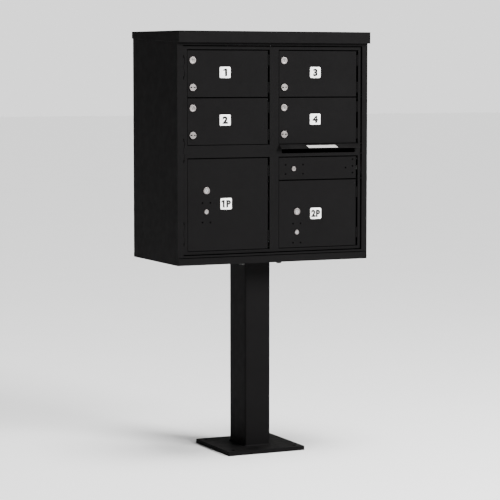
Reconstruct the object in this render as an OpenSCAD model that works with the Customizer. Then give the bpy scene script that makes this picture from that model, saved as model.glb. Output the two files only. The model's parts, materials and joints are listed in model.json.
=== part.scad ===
// Pedestal cluster mailbox: four tenant doors, two parcel doors, an outgoing mail slot and a carrier lock
// in one hinged master door, on a square post and base plate.
// Frame: X to the right along the front, Y to the back, Z up.
// Origin on the ground, under the post's centre.

/* [Cabinet] */
// Width over the two side panels
cab_w = 770.5; // [640:0.1:960]
// Depth from the front of the jambs to the back of the side panels
cab_d = 431.8; // [360:0.1:560]
// Height of the side panels
cab_h = 845; // [800:0.1:1020]
// Thickness of the side and back panels and of the pan
panel_t = 3.2; // [2:0.1:4]
// Width of the side panels' front flanges, which are the jambs
jamb_w = 22.3; // [18:0.1:30]
// Width of the side panels' back flanges
back_flange_w = 20; // [14:1:30]
// Height of the bottom pan's rim
pan_h = 25.6; // [15:0.1:40]
// Gap between the pan's rim and the jambs and sill rail above it
rim_gap = 2.5; // [1:0.1:4]
// Height of the sill rail's top above the pan's rim
sill_h = 10; // [8:0.5:16]
// Height of the head rail's face
head_h = 50.5; // [45:0.5:54]
// How deep the head and sill rails' ledges go behind the jambs
ledge_d = 18; // [12:1:22]

/* [Hood] */
// Thickness of the hood's sheet
hood_t = 2; // [1.2:0.1:3]
// How far the hood stands out in front of the jambs
hood_front = 19; // [10:0.5:40]
// How far the hood stands out behind the cabinet
hood_back = 6.4; // [4:0.1:30]
// Gap between the hood's side lips and the side panels
hood_gap = 0.1; // [0.1:0.1:2]
// Height of the hood's front lip
hood_front_lip = 42.5; // [30:0.5:50]
// Height of the hood's back lip
hood_back_lip = 26.2; // [20:0.1:40]
// How much the hood's top rises from front to back
hood_rise = 3.9; // [1:0.1:20]

/* [Pedestal] */
// Height from the ground to the underside of the cabinet
pedestal_h = 723.9; // [400:0.1:1200]
// Width of the post, left to right
post_w = 103.2; // [80:0.1:120]
// Depth of the post, front to back
post_d = 143; // [100:0.1:150]
// Wall of the post
post_wall = 4.8; // [3:0.1:8]
// Outer corner radius of the post
post_r = 6; // [5.5:0.5:9]
// Width and depth of the base plate
base_w = 311.2; // [290:0.1:420]
// Thickness of the base plate
base_t = 15.9; // [10:0.1:25]
// Spacing of the anchor bolt holes, both ways
anchor_spacing = 254; // [220:1:262]
// Diameter of the anchor bolt holes
anchor_d = 14.3; // [12:0.1:20]
// Width of the flange on top of the post
flange_w = 204; // [190:1:260]
// Depth of the flange on top of the post
flange_d = 240; // [220:1:320]
// Thickness of the flange on top of the post
flange_t = 7.9; // [6:0.1:12]
// Spacing of the cabinet bolts, left to right
cab_bolt_x = 152.4; // [148:0.1:170]
// Spacing of the cabinet bolts, front to back
cab_bolt_y = 190.5; // [185:0.1:205]
// Thread diameter of the cabinet bolts
cab_bolt_d = 12; // [8:1:14]

/* [Master door] */
// Gap between the master door and the jambs
leaf_gap = 1.5; // [1:0.1:3]
// Gap between the master door and the head and sill rails
leaf_gap_z = 3.2; // [1:0.1:4]
// How far the master door's face lies behind the jambs' face
leaf_recess = 7; // [5.5:0.1:9]
// Thickness of the master door's sheet
leaf_t = 3.2; // [2:0.1:4]
// Depth of the flange round the master door's edge
leaf_edge_d = 22; // [18:0.5:26]
// Height of the master door's bottom rail
rail_bottom = 10.3; // [9:0.1:20]
// Height of the master door's top rail
rail_top = 10.8; // [9:0.1:20]
// Height of the rail between the tenant doors and what is below them
rail_mid = 45; // [40:0.5:60]
// Height of the left parcel door
parcel_1_h = 333; // [300:0.1:360]
// Height of the right parcel door
parcel_2_h = 247.2; // [220:0.1:260]
// Width of the stile at the master door's left edge
stile_left = 17.4; // [12:0.1:24]
// Width of the stile between the two columns
stile_mid = 36.7; // [30:0.1:50]
// Width of the stile at the master door's right edge
stile_right = 11.9; // [11:0.1:20]
// Thickness of the stop frame behind the doors
stop_t = 2; // [1.5:0.1:3]
// How far the stop frame reaches past the stiles' edges
stop_reach = 6; // [4:0.5:6.5]
// How far the stop frame reaches past the rails' edges
stop_reach_z = 8; // [6.5:0.5:9]
// Diameter of the master door's hinge barrels
master_barrel_d = 7; // [6:0.1:8.4]
// Diameter of the master door's hinge pins
master_pin_d = 4; // [3:0.1:5]
// Length of each of the three barrels in a master hinge
master_barrel_h = 22; // [16:1:40]

/* [Doors] */
// Gap at a door's lock side
door_gap = 1.5; // [1:0.1:3]
// Gap under the lowest door in a row
gap_low = 2.5; // [1:0.1:4]
// Gap over the highest door in a row
gap_top = 4; // [1:0.1:5]
// Gap between two doors, one above the other
door_between = 4.5; // [1.5:0.1:6]
// Gap at a door's hinge side
hinge_gap = 8; // [7.6:0.1:9]
// Distance from a hinge pin's centre to the stile beside it
pin_inset = 3.5; // [3.3:0.1:3.8]
// Diameter of the doors' hinge barrels
barrel_d = 5.4; // [5:0.1:6]
// Diameter of the doors' hinge pins
pin_d = 3.2; // [2:0.1:3.6]
// Length of each of the three barrels in a door hinge
barrel_h = 13; // [10:0.5:18]
// Height from a tenant door's edge to its hinge's centre
tenant_hinge_in = 34; // [26:1:40]
// Height from a parcel door's edge to its hinge's centre
parcel_hinge_in = 48; // [30:1:60]

/* [Locks] */
// Diameter of a tenant or parcel lock's face
lock_face_d = 25.4; // [22:0.1:28]
// Thickness of a lock's face
lock_face_t = 3.2; // [2:0.1:4]
// Diameter of a lock's barrel
lock_barrel_d = 19; // [17:0.1:22.8]
// Diameter of a lock's plug
lock_plug_d = 12; // [10:0.1:13]
// Diameter of a control lock's or carrier lock's face
small_face_d = 17.5; // [16:0.1:20]
// Diameter of a control lock's or carrier lock's barrel
small_barrel_d = 14; // [13:0.1:15]
// Diameter of a control lock's or carrier lock's plug
small_plug_d = 9; // [8:0.1:10]
// How far behind the master door's face the door locks' cams lie
cam_depth = 19; // [17:0.5:20]
// Thickness of a cam
cam_t = 2.5; // [2:0.1:3]
// Width of a cam
cam_w = 13; // [10:0.5:15]
// How far a cam reaches past the door's edge when locked
cam_reach = 8.5; // [6:0.5:9.5]
// Distance from a door's lock edge to a tenant lock's centre
tenant_lock_in = 19.5; // [18:0.5:26]
// Distance from a tenant door's top to its lock's centre
tenant_lock_down = 35.5; // [28:0.5:50]
// Distance from a tenant door's bottom to its pull knob's centre
pull_up = 34.8; // [28:0.1:50]
// Diameter of a tenant door's pull knob
pull_d = 25; // [24:0.5:28]
// Thickness of a pull knob
pull_t = 5; // [4:0.5:8]
// Distance from a door's lock edge to a parcel lock's centre
parcel_lock_in = 73.2; // [60:0.1:90]
// Distance from a parcel door's top to its customer lock's centre
parcel_lock_down = 114.5; // [108:0.5:120]
// Distance from a parcel customer lock down to its control lock
control_lock_drop = 77; // [74:0.5:80]
// Spacing of a latch housing's rivets, left to right
housing_rivets_x = 31; // [30:0.5:36]
// Spacing of a latch housing's rivets, top to bottom
housing_rivets_z = 71; // [66:0.5:76]
// Diameter of a rivet's head
rivet_d = 6.4; // [5:0.1:8]
// Distance from the right column's door edge to the carrier lock's centre
carrier_lock_in = 60.3; // [50:0.1:80]
// Radius of the carrier lock's crank pin
crank_r = 10; // [8:0.5:11]
// Height of the sliding lock bolt
bolt_h = 16; // [12:0.5:20]
// Thickness of the sliding lock bolt
bolt_t = 4; // [3:0.5:5]

/* [Outgoing mail] */
// Height of the outgoing mail slot
slot_h = 25; // [18:0.5:28]
// Gap between the slot and the rail's edges, left and right
slot_in = 13; // [10:1:30]
// Thickness of the awning over the slot
awning_t = 1.6; // [1.2:0.1:2.5]
// How far the awning stands out from the master door
awning_out = 23; // [15:0.5:25]
// How far the awning's lip lies below its bend
awning_drop = 16; // [10:0.5:22]

/* [Inside] */
// Thickness of the shelves and the partition
shelf_t = 2; // [1.5:0.1:3]
// How far behind the jambs' face the shelves start
shelf_front = 38; // [36:0.5:60]

/* [Hidden] */
$fn = 48;

// Clearances
fit = 0.05;        // radial, between a plug or pin and its bore
seat = 0.2;        // between pieces that lie side by side
hole = 0.15;       // radial, round a barrel or bolt in a sheet
cut = 1;           // how far a cutting shape runs past what it cuts

// Colours
powder = [0.13, 0.13, 0.14];
inner = [0.45, 0.46, 0.48];
bright = [0.8, 0.8, 0.82];

// Cabinet planes
face_y = -cab_d / 2;
back_y = cab_d / 2;
side_x = cab_w / 2;
inner_x = side_x - panel_t;
inner_back_y = back_y - 2 * panel_t;
floor_z = pedestal_h;
top_z = floor_z + cab_h;
rim_z = floor_z + pan_h;
sill_z = rim_z + sill_h;
jamb_x = side_x - jamb_w;
head_z = top_z - head_h;
shelf_y = face_y + shelf_front;
hood_y0 = face_y - hood_front;
hood_y1 = back_y + hood_back;
hood_x = side_x + hood_gap + hood_t;
hood_z = top_z + hood_t;

// Master door planes
leaf_x = jamb_x - leaf_gap;
leaf_y = face_y + leaf_recess;
leaf_back = leaf_y + leaf_t;
leaf_z0 = sill_z + leaf_gap_z;
leaf_z1 = head_z - leaf_gap_z;
row_low = leaf_z0 + rail_bottom;
row_high = leaf_z1 - rail_top;
parcel_top = row_low + gap_low + parcel_1_h + gap_top;
tenant_low = parcel_top + rail_mid;
tenant_h = (row_high - tenant_low - gap_low - gap_top - door_between) / 2;
stop_y = leaf_back + stop_t;
window_w = (2 * leaf_x - stile_left - stile_mid - stile_right) / 2;
door_w = window_w - door_gap - hinge_gap;
window_x = [-leaf_x + stile_left, -leaf_x + stile_left + window_w + stile_mid];
door_x = [for (x = window_x) x + door_gap];
tenant_z = [tenant_low + gap_low + tenant_h + door_between, tenant_low + gap_low];
parcel_h = [parcel_1_h, parcel_2_h];
parcel_z = row_low + gap_low;
panel_z0 = parcel_z + parcel_2_h + door_between;
panel_z1 = parcel_top - gap_top;

// The doors lie flush with the master door and stop just in front of the stop frame.
door_t = leaf_t - seat;

// Hinges
pin_y = leaf_back;
pin_x = [for (x = window_x) x + window_w - pin_inset];
strap_t = 1.5;
strap_door = 18;
strap_longest = 11;
strap_clear = 0.7;
strap_leaf = min(strap_longest, stile_right + pin_inset - leaf_t - strap_clear);
master_pin_in = 2.5;
master_pin_x = -leaf_x + master_pin_in;
master_strap = side_x - panel_t - 1 + master_pin_x;
leaf_h = leaf_z1 - leaf_z0;
master_hinge_z = [leaf_z0 + leaf_h / 10, leaf_z0 + leaf_h / 2, leaf_z1 - leaf_h / 10];

// Each door: column 0 or 1, bottom, height, hinge height from its edges
DOORS = [[0, tenant_z[0], tenant_h, tenant_hinge_in], [0, tenant_z[1], tenant_h, tenant_hinge_in],
    [1, tenant_z[0], tenant_h, tenant_hinge_in], [1, tenant_z[1], tenant_h, tenant_hinge_in],
    [0, parcel_z, parcel_h[0], parcel_hinge_in], [1, parcel_z, parcel_h[1], parcel_hinge_in]];
function hinge_z(d) = [d[1] + d[3], d[1] + d[2] - d[3]];
function lock_x(d) = door_x[d[0]] + (d[3] == tenant_hinge_in ? tenant_lock_in : parcel_lock_in);
function lock_z(d) = d[1] + d[2] - (d[3] == tenant_hinge_in ? tenant_lock_down : parcel_lock_down);
function control_z(d) = lock_z(d) - control_lock_drop;

// Locks
cam_y = leaf_y + cam_depth;
lock_front = leaf_y - lock_face_t;
small_face_t = 2;
small_front = leaf_y - small_face_t;
nut_t = 4;
nut_over = 6;
face_step = 0.8;
keyway_depth = 6;
pull_step = 0.8;
pull_shank_d = 8;
pull_web = 5;
pocket_w = 7.5;
pocket_h = 5;
pocket_d = 3;
keyway_w = 2.2;
keyway_h = 8;
small_keyway_h = 6;
housing_d = 15;
housing_wall = 2;
small_cam_l = 12;
carrier_x = door_x[1] + carrier_lock_in;
carrier_down = 0.9;
carrier_z = (panel_z0 + panel_z1) / 2 - carrier_down;
crank_back = 6;
crank_y = leaf_back + crank_back;
crank_t = 2;
crank_pin_d = 5;
bolt_play = 0.5;
bolt_y = crank_y + crank_t + bolt_play;
bolt_end_in = 1;
bolt_end = leaf_x - bolt_end_in;
bolt_slot_w = crank_pin_d + 1;
crank_px = carrier_x - crank_r * sin(45);
crank_pz = carrier_z + crank_r * cos(45);

// A box given by its two ends along each axis.
module box(x, y, z) {
    translate([x[0], y[0], z[0]])
        cube([x[1] - x[0], y[1] - y[0], z[1] - z[0]]);
}

// A cylinder along Y from y0 to y1 at x, z.
module along_y(x, z, d, y0, y1) {
    translate([x, y0, z])
        rotate([-90, 0, 0])
            cylinder(d = d, h = y1 - y0);
}

// An upright cylinder from z0 to z1 at x, y.
module upright(x, y, d, z0, z1) {
    translate([x, y, z0])
        cylinder(d = d, h = z1 - z0);
}

// A rectangle with round corners, centred, for the post.
module round_rect(w, d, r) {
    union() {
        square([w - 2 * r, d], center = true);
        square([w, d - 2 * r], center = true);
        for (x = [-1, 1], y = [-1, 1])
            translate([x * (w / 2 - r), y * (d / 2 - r)])
                circle(r);
    }
}

// A button-head rivet set along Y, head outwards at y, through grip of sheet.
module rivet(x, z, y, grip) {
    shank = rivet_d / 2;
    dome = rivet_d / 5;
    translate([x, y, z])
        rotate([90, 0, 0])
            intersection() {
                translate([0, 0, dome - 2.2 * rivet_d / 3])
                    sphere(d = 4.4 * rivet_d / 3);
                cylinder(d = rivet_d, h = rivet_d);
            }
    along_y(x, z, shank, y, y + grip);
}

// ---------------------------------------------------------------- pedestal

module base_plate() {
    color(powder)
        difference() {
            translate([0, 0, base_t / 2])
                cube([base_w, base_w, base_t], center = true);
            for (x = [-1, 1], y = [-1, 1])
                upright(x * anchor_spacing / 2, y * anchor_spacing / 2, anchor_d, -cut, base_t + cut);
        }
}

module pedestal_post() {
    color(powder)
        translate([0, 0, base_t])
            linear_extrude(floor_z - flange_t - base_t)
                difference() {
                    round_rect(post_w, post_d, post_r);
                    round_rect(post_w - 2 * post_wall, post_d - 2 * post_wall, post_r - post_wall);
                }
}

module cab_bolt_places() {
    for (x = [-1, 1], y = [-1, 1])
        translate([x * cab_bolt_x / 2, y * cab_bolt_y / 2, 0])
            children();
}

module mounting_flange() {
    color(powder)
        difference() {
            box([-flange_w / 2, flange_w / 2], [-flange_d / 2, flange_d / 2],
                [floor_z - flange_t, floor_z]);
            cab_bolt_places()
                upright(0, 0, cab_bolt_d + 2 * hole, floor_z - flange_t - cut, floor_z + cut);
        }
}

module cabinet_bolts() {
    bolt_head_h = 0.65 * cab_bolt_d;
    hex_d = 1.75 * cab_bolt_d;
    washer_t = 2.5;
    bolt_nut_t = 0.8 * cab_bolt_d;
    end_past_nut = 3;
    nut_z = floor_z + panel_t + washer_t;
    color(bright)
        cab_bolt_places() {
            upright(0, 0, cab_bolt_d, floor_z - flange_t, nut_z + bolt_nut_t + end_past_nut);
            translate([0, 0, floor_z - flange_t - bolt_head_h])
                cylinder(d = hex_d, h = bolt_head_h, $fn = 6);
            difference() {
                union() {
                    upright(0, 0, 2 * cab_bolt_d, floor_z + panel_t, nut_z);
                    translate([0, 0, nut_z])
                        cylinder(d = hex_d, h = bolt_nut_t, $fn = 6);
                }
                upright(0, 0, cab_bolt_d + 2 * fit, floor_z, nut_z + cab_bolt_d);
            }
        }
}

// ----------------------------------------------------------------- cabinet

module bottom_pan() {
    pan_x = inner_x - 0.6;
    pan_back = inner_back_y - seat;
    color(powder)
        difference() {
            box([-pan_x, pan_x], [face_y, pan_back], [floor_z, rim_z]);
            box([-pan_x + panel_t, pan_x - panel_t], [face_y + panel_t, pan_back - panel_t],
                [floor_z + panel_t, rim_z + cut]);
            cab_bolt_places()
                upright(0, 0, cab_bolt_d + 2 * hole, floor_z - cut, floor_z + panel_t + cut);
        }
}

rivet_rows = 6;
function back_rivet_z(i) = floor_z + 60 + i * (cab_h - 120) / (rivet_rows - 1);
back_rivet_x = side_x - back_flange_w / 2;

module back_rivet_holes() {
    for (s = [-1, 1], i = [0 : rivet_rows - 1])
        along_y(s * back_rivet_x, back_rivet_z(i), rivet_d / 2 + 2 * fit, inner_back_y - cut, back_y + cut);
}

// A side panel, bent round at the front into the jamb and at the back into a flange; s is -1 or 1.
module side_panel(s) {
    color(powder)
        difference() {
            mirror([s < 0 ? 1 : 0, 0, 0])
                difference() {
                    box([jamb_x, side_x], [face_y, back_y], [floor_z, top_z]);
                    box([jamb_x - cut, inner_x], [face_y + panel_t, back_y - panel_t],
                        [floor_z - cut, top_z + cut]);
                    box([jamb_x - cut, side_x - back_flange_w], [back_y - 2 * panel_t, back_y + cut],
                        [floor_z - cut, top_z + cut]);
                    box([jamb_x - cut, inner_x], [face_y - cut, face_y + 2 * panel_t],
                        [floor_z - cut, rim_z + rim_gap]);
                }
            back_rivet_holes();
        }
}

module left_panel() { side_panel(-1); }
module right_panel() { side_panel(1); }

module back_panel() {
    color(powder)
        difference() {
            box([-inner_x + seat, inner_x - seat], [inner_back_y, back_y - panel_t], [floor_z, top_z]);
            back_rivet_holes();
        }
}

module back_rivets() {
    color(powder)
        mirror([0, 1, 0])
            for (s = [-1, 1], i = [0 : rivet_rows - 1])
                rivet(s * back_rivet_x, back_rivet_z(i), -back_y, 2 * panel_t + 1);
}

module top_panel() {
    color(inner)
        box([-inner_x + seat, inner_x - seat], [face_y + panel_t + seat, inner_back_y - seat],
            [top_z - panel_t, top_z]);
}

// The hood's side outline in Y and Z; t is how far inside the outer face it lies.
module hood_outline(t, down) {
    run = hood_y1 - hood_y0;
    slope = hood_rise / run;
    polygon([
        [hood_y0 + t, hood_z - hood_front_lip - down],
        [hood_y0 + t, hood_z - t + slope * t],
        [hood_y1 - t, hood_z + hood_rise - t - slope * t],
        [hood_y1 - t, hood_z + hood_rise - hood_back_lip - down],
    ]);
}

module hood() {
    color(powder)
        difference() {
            hood_along(hood_x)
                hood_outline(0, 0);
            hood_along(hood_x - hood_t)
                hood_outline(hood_t, hood_front_lip);
        }
}

// Extrudes a Y, Z outline along X from -half to half.
module hood_along(half) {
    translate([-half, 0, 0])
        rotate([90, 0, 90])
            linear_extrude(2 * half)
                children();
}

module head_rail() {
    color(powder) {
        x = jamb_x - seat / 2;
        union() {
            box([-x, x], [face_y, face_y + panel_t], [head_z, top_z - seat]);
            box([-x, x], [face_y, face_y + ledge_d], [head_z, head_z + panel_t]);
        }
    }
}

module sill_rail() {
    color(powder) {
        x = jamb_x - seat / 2;
        union() {
            box([-x, x], [face_y, face_y + panel_t], [rim_z + rim_gap, sill_z]);
            box([-x, x], [face_y, face_y + ledge_d], [sill_z - panel_t, sill_z]);
        }
    }
}

module strike_plate() {
    past_bolt = 20;
    past_ledge = 20;
    hook_clear = 2.3;
    hook_in = 2;
    z = [carrier_z - bolt_h / 2 - past_bolt, carrier_z + bolt_h / 2 + past_bolt];
    hook_y = bolt_y - panel_t - hook_clear;
    color(bright)
        union() {
            box([inner_x - panel_t, inner_x], [face_y + panel_t + seat, face_y + ledge_d + past_ledge], z);
            box([jamb_x + hook_in, inner_x], [hook_y, hook_y + panel_t], z);
        }
}

// ------------------------------------------------------------------ inside

partition_x = window_x[1] - stile_mid / 2;
shelf_tenant = tenant_low + gap_low + tenant_h + door_between / 2 - shelf_t / 2;
shelf_left = parcel_top + rail_mid / 2;
shelf_slot = tenant_low - shelf_t;
shelf_low = panel_z0 - door_between / 2 - shelf_t / 2;
comp_floor_down = 6;
comp_floor = row_low - comp_floor_down;
shelf_back = inner_back_y - seat;

module centre_partition() {
    color(inner)
        box([partition_x - shelf_t / 2, partition_x + shelf_t / 2], [shelf_y, shelf_back],
            [comp_floor + seat, top_z - panel_t - seat]);
}

// Shelves at the heights zs between x0 and x1.
module shelves(x0, x1, zs) {
    color(inner)
        for (z = zs)
            box([x0, x1], [shelf_y, shelf_back], [z, z + shelf_t]);
}

module left_shelves() {
    shelves(-inner_x + seat, partition_x - shelf_t / 2 - seat, [shelf_tenant, shelf_left]);
}

module right_shelves() {
    shelves(partition_x + shelf_t / 2 + seat, inner_x - seat, [shelf_tenant, shelf_slot, shelf_low]);
}

module compartment_floor() {
    side_room = 1.5;
    back_room = 1;
    x = inner_x - panel_t - side_room;
    y1 = shelf_back - panel_t - back_room;
    color(inner)
        difference() {
            box([-x, x], [shelf_y, y1], [floor_z + panel_t, comp_floor]);
            box([-x - cut, x + cut], [shelf_y + shelf_t, y1 - shelf_t],
                [floor_z, comp_floor - shelf_t]);
        }
}

module outgoing_baffle() {
    tilt = 35;
    reach = 70;
    behind = 2;
    under_slot = 12;
    x0 = partition_x + shelf_t / 2 + seat;
    x1 = inner_x - seat;
    color(inner)
        translate([x0, shelf_y + behind, shelf_slot - slot_h - under_slot])
            rotate([-tilt, 0, 0])
                cube([x1 - x0, reach, shelf_t]);
}

// ------------------------------------------------------------- master door

// The Z ranges of the two jamb barrels in a master hinge centred on z.
function jamb_barrels(z) = [[z - 1.5 * master_barrel_h, z - master_barrel_h / 2 - seat / 2],
    [z + master_barrel_h / 2 + seat / 2, z + 1.5 * master_barrel_h]];

module master_hinge_leaves() {
    r = master_barrel_d / 2;
    strap_y = face_y + panel_t;
    color(powder)
        for (z = master_hinge_z, b = jamb_barrels(z))
            difference() {
                union() {
                    upright(master_pin_x, leaf_y, master_barrel_d, b[0], b[1]);
                    box([master_pin_x - master_strap, master_pin_x],
                        [strap_y, strap_y + strap_t], b);
                    box([master_pin_x - r, master_pin_x], [strap_y, leaf_y], b);
                }
                upright(master_pin_x, leaf_y, master_pin_d + 2 * fit, b[0] - cut, b[1] + cut);
            }
}

module master_hinge_pins() {
    color(powder)
        for (z = master_hinge_z) {
            top = z + 1.5 * master_barrel_h;
            upright(master_pin_x, leaf_y, master_pin_d, z - 1.5 * master_barrel_h, top);
            upright(master_pin_x, leaf_y, master_barrel_d - 0.6, top, top + 1.5);
        }
}

module window_cut(col, z0, z1) {
    box([window_x[col], window_x[col] + window_w], [leaf_y - cut, leaf_back + cut], [z0, z1]);
}

slot_down = 8;
slot_z0 = tenant_low - slot_down - slot_h;

// Room for the master hinges' barrels and pin heads in the left stile and the stop frame.
notch_x = master_pin_x + master_barrel_d / 2 + 1.5;
module master_hinge_notches() {
    for (z = master_hinge_z)
        box([-leaf_x - cut, notch_x], [leaf_y - cut, leaf_y + master_barrel_d / 2 + 1],
            [z - 1.5 * master_barrel_h - 2, z + 1.5 * master_barrel_h + 3]);
}

module master_door() {
    color(powder)
        difference() {
            union() {
                difference() {
                    box([-leaf_x, leaf_x], [leaf_y, leaf_y + leaf_edge_d], [leaf_z0, leaf_z1]);
                    box([-leaf_x + leaf_t, leaf_x - leaf_t], [leaf_back, leaf_y + leaf_edge_d + cut],
                        [leaf_z0 + leaf_t, leaf_z1 - leaf_t]);
                    for (col = [0, 1]) {
                        window_cut(col, row_low, parcel_top);
                        window_cut(col, tenant_low, row_high);
                    }
                    box([window_x[1] + slot_in, window_x[1] + window_w - slot_in],
                        [leaf_y - cut, leaf_back + cut], [slot_z0, slot_z0 + slot_h]);
                    master_hinge_notches();
                    box([leaf_x - leaf_t - cut, leaf_x + cut], [bolt_y - 1, bolt_y + bolt_t + 1],
                        [carrier_z - bolt_h / 2 - 1, carrier_z + bolt_h / 2 + 1]);
                }
                for (z = master_hinge_z) {
                    upright(master_pin_x, leaf_y, master_barrel_d, z - master_barrel_h / 2 + seat / 2,
                        z + master_barrel_h / 2 - seat / 2);
                    box([master_pin_x - 1, notch_x + 0.5], [leaf_y, leaf_back],
                        [z - master_barrel_h / 2 + seat / 2, z + master_barrel_h / 2 - seat / 2]);
                }
            }
            for (z = master_hinge_z)
                upright(master_pin_x, leaf_y, master_pin_d + 2 * fit, z - 2 * master_barrel_h,
                    z + 2 * master_barrel_h);
        }
}

// Strips fixed behind the master door's sheet that the doors close against: uprights, then cross strips.
module door_stop_frame() {
    x = leaf_x - leaf_t - seat;
    hinge_room = 13;
    uprights = [[-x, window_x[0] + stop_reach],
        [window_x[1] - stile_mid + hinge_room, window_x[1] + stop_reach]];
    between_z = shelf_tenant + shelf_t / 2;
    low = [leaf_z0 + leaf_t + seat, row_low + stop_reach_z];
    middle = [parcel_top - stop_reach_z, tenant_low + stop_reach_z];
    past_shelf = shelf_t / 2;
    between = [between_z - stop_reach - past_shelf, between_z + stop_reach + past_shelf];
    high = [row_high - stop_reach_z, leaf_z1 - leaf_t - seat];
    under_slot = [middle[0], slot_z0];
    over_slot = [slot_z0 + slot_h, middle[1]];
    panel = [panel_z0 - door_between - stop_reach, panel_z0 + stop_reach];
    columns = [[low, middle, between, high], [low, panel, under_slot, over_slot, between, high]];
    ends = [uprights[1][0], x + seat];
    color(powder)
        difference() {
            for (col = [0, 1]) {
                box(uprights[col], [leaf_back, stop_y], [low[0], high[1]]);
                for (z = columns[col])
                    box([uprights[col][1] + seat, ends[col] - seat], [leaf_back, stop_y], z);
            }
            master_hinge_notches();
        }
}

// The leaf-side straps and barrels of all the door hinges, fixed behind the stiles.
module door_hinge_leaves() {
    color(powder)
        for (d = DOORS, z = hinge_z(d), s = [-1, 1])
            difference() {
                z0 = z + s * barrel_h - (barrel_h - seat) / 2;
                z1 = z0 + barrel_h - seat;
                x = pin_x[d[0]];
                union() {
                    upright(x, pin_y, barrel_d, z0, z1);
                    box([x, x + strap_leaf], [pin_y, pin_y + strap_t], [z0, z1]);
                }
                upright(x, pin_y, pin_d + 2 * fit, z0 - cut, z1 + cut);
            }
}

module door_hinge_pins() {
    color(powder)
        for (d = DOORS, z = hinge_z(d)) {
            top = z + 1.5 * barrel_h - seat / 2;
            upright(pin_x[d[0]], pin_y, pin_d, z - 1.5 * barrel_h, top);
            upright(pin_x[d[0]], pin_y, barrel_d - 0.4, top, top + 1);
        }
}

// Hooks behind the stiles that the locks' cams turn behind.
module lock_strikes() {
    past_cam = 5;
    half = cam_w / 2 + past_cam;
    strike_t = 2;
    play = 1.5;
    edge_play = 1;
    hook_y = cam_y - play;
    color(bright)
        for (d = DOORS) {
            hook_x = door_x[d[0]] - cam_reach - 2 * strike_t;
            z = [lock_z(d) - half, lock_z(d) + half];
            union() {
                box([hook_x, hook_x + strike_t], [stop_y, hook_y], z);
                box([hook_x, door_x[d[0]] - edge_play], [hook_y - strike_t, hook_y], z);
            }
        }
}

awning_foot = 7;
awning_in = 1;
awning_down = 0.5;
module outgoing_awning() {
    x0 = window_x[1] + awning_in;
    x1 = window_x[1] + window_w;
    z = tenant_low - awning_down;
    color(powder)
        translate([x0, 0, 0])
            rotate([90, 0, 90])
                linear_extrude(x1 - x0)
                    polygon([
                        [leaf_y, z - awning_foot],
                        [leaf_y, z],
                        [leaf_y - awning_t, z],
                        [leaf_y - awning_out, z - awning_drop + awning_t],
                        [leaf_y - awning_out, z - awning_drop],
                        [leaf_y - awning_t, z - 2 * awning_t],
                        [leaf_y - awning_t, z - awning_foot],
                    ]);
}

// ------------------------------------------------------------ lock panel

// The lock panel's rivets as X and the height over the carrier lock: round the lock, then the far guide.
guide_x = door_x[1] + door_w - 29.65;
panel_rivets = [[carrier_x - 33.4, 15], [carrier_x + 38, 15], [carrier_x - 33.4, -19],
    [carrier_x + 38, -19], [guide_x - 14, 0], [guide_x + 15.6, 31], [guide_x + 15.6, 6],
    [guide_x + 15.6, -19]];

module panel_rivet_places() {
    for (p = panel_rivets)
        translate([p[0], 0, carrier_z + p[1]])
            children();
}

module lock_panel() {
    color(powder)
        difference() {
            box([door_x[1], door_x[1] + door_w], [leaf_y, leaf_y + door_t], [panel_z0, panel_z1]);
            along_y(carrier_x, carrier_z, small_barrel_d + 2 * hole, leaf_y - cut, leaf_back + cut);
            panel_rivet_places()
                along_y(0, 0, rivet_d / 2 + 2 * fit, leaf_y - cut, leaf_back + cut);
        }
}

// A channel that holds the lock bolt against the panel, between x0 and x1.
module bolt_guide(x0, x1) {
    back = bolt_y + bolt_t + bolt_play;
    wall = 2;
    half = bolt_h / 2 + bolt_play;
    front = leaf_y + door_t;
    difference() {
        box([x0, x1], [front, back + wall], [carrier_z - half - wall, carrier_z + half + wall]);
        box([x0 - cut, x1 + cut], [front - cut, back], [carrier_z - half, carrier_z + half]);
    }
}

module bolt_guides() {
    far = [guide_x - 20, guide_x + 10];
    near = [carrier_x + 45, carrier_x + 65];
    color(powder) {
        bolt_guide(far[0], far[1]);
        bolt_guide(near[0], near[1]);
        panel_rivet_places()
            rivet(0, 0, leaf_y, door_t + 1.5);
    }
}

// A lock's case at x, z: face, barrel, and the nut behind the sheet; bore is the plug's diameter.
module lock_case(x, z, face, barrel, bore, y_end, front = lock_front) {
    nut_y = leaf_y + door_t + fit;
    color(bright)
        difference() {
            union() {
                along_y(x, z, face, front + face_step, leaf_y);
                along_y(x, z, face - 2, front, front + face_step);
                along_y(x, z, barrel, leaf_y, y_end);
                translate([x, nut_y, z])
                    rotate([-90, 0, 0])
                        cylinder(d = barrel + nut_over, h = nut_t, $fn = 6);
            }
            along_y(x, z, bore + 2 * fit, front - cut, y_end + cut);
        }
}

// The plug that turns in a lock's case, with its keyway upright.
module lock_plug(x, z, bore, key_h, y_end, front = lock_front) {
    difference() {
        along_y(x, z, bore, front, y_end);
        box([x - keyway_w / 2, x + keyway_w / 2], [front - cut, front + keyway_depth],
            [z - key_h / 2, z + key_h / 2]);
    }
}

// A flat cam in the plane y, from the axis at x, z to a length along dir, 1 up or -1 down.
module cam(x, z, y, l, w, dir) {
    half = w / 2;
    along_y(x, z, w, y, y + cam_t);
    box([x - half, x + half], [y, y + cam_t], dir > 0 ? [z, z + l] : [z - l, z]);
}

module carrier_lock_case() {
    lock_case(carrier_x, carrier_z, small_face_d, small_barrel_d, small_plug_d, crank_y - seat,
        small_front);
}

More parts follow.
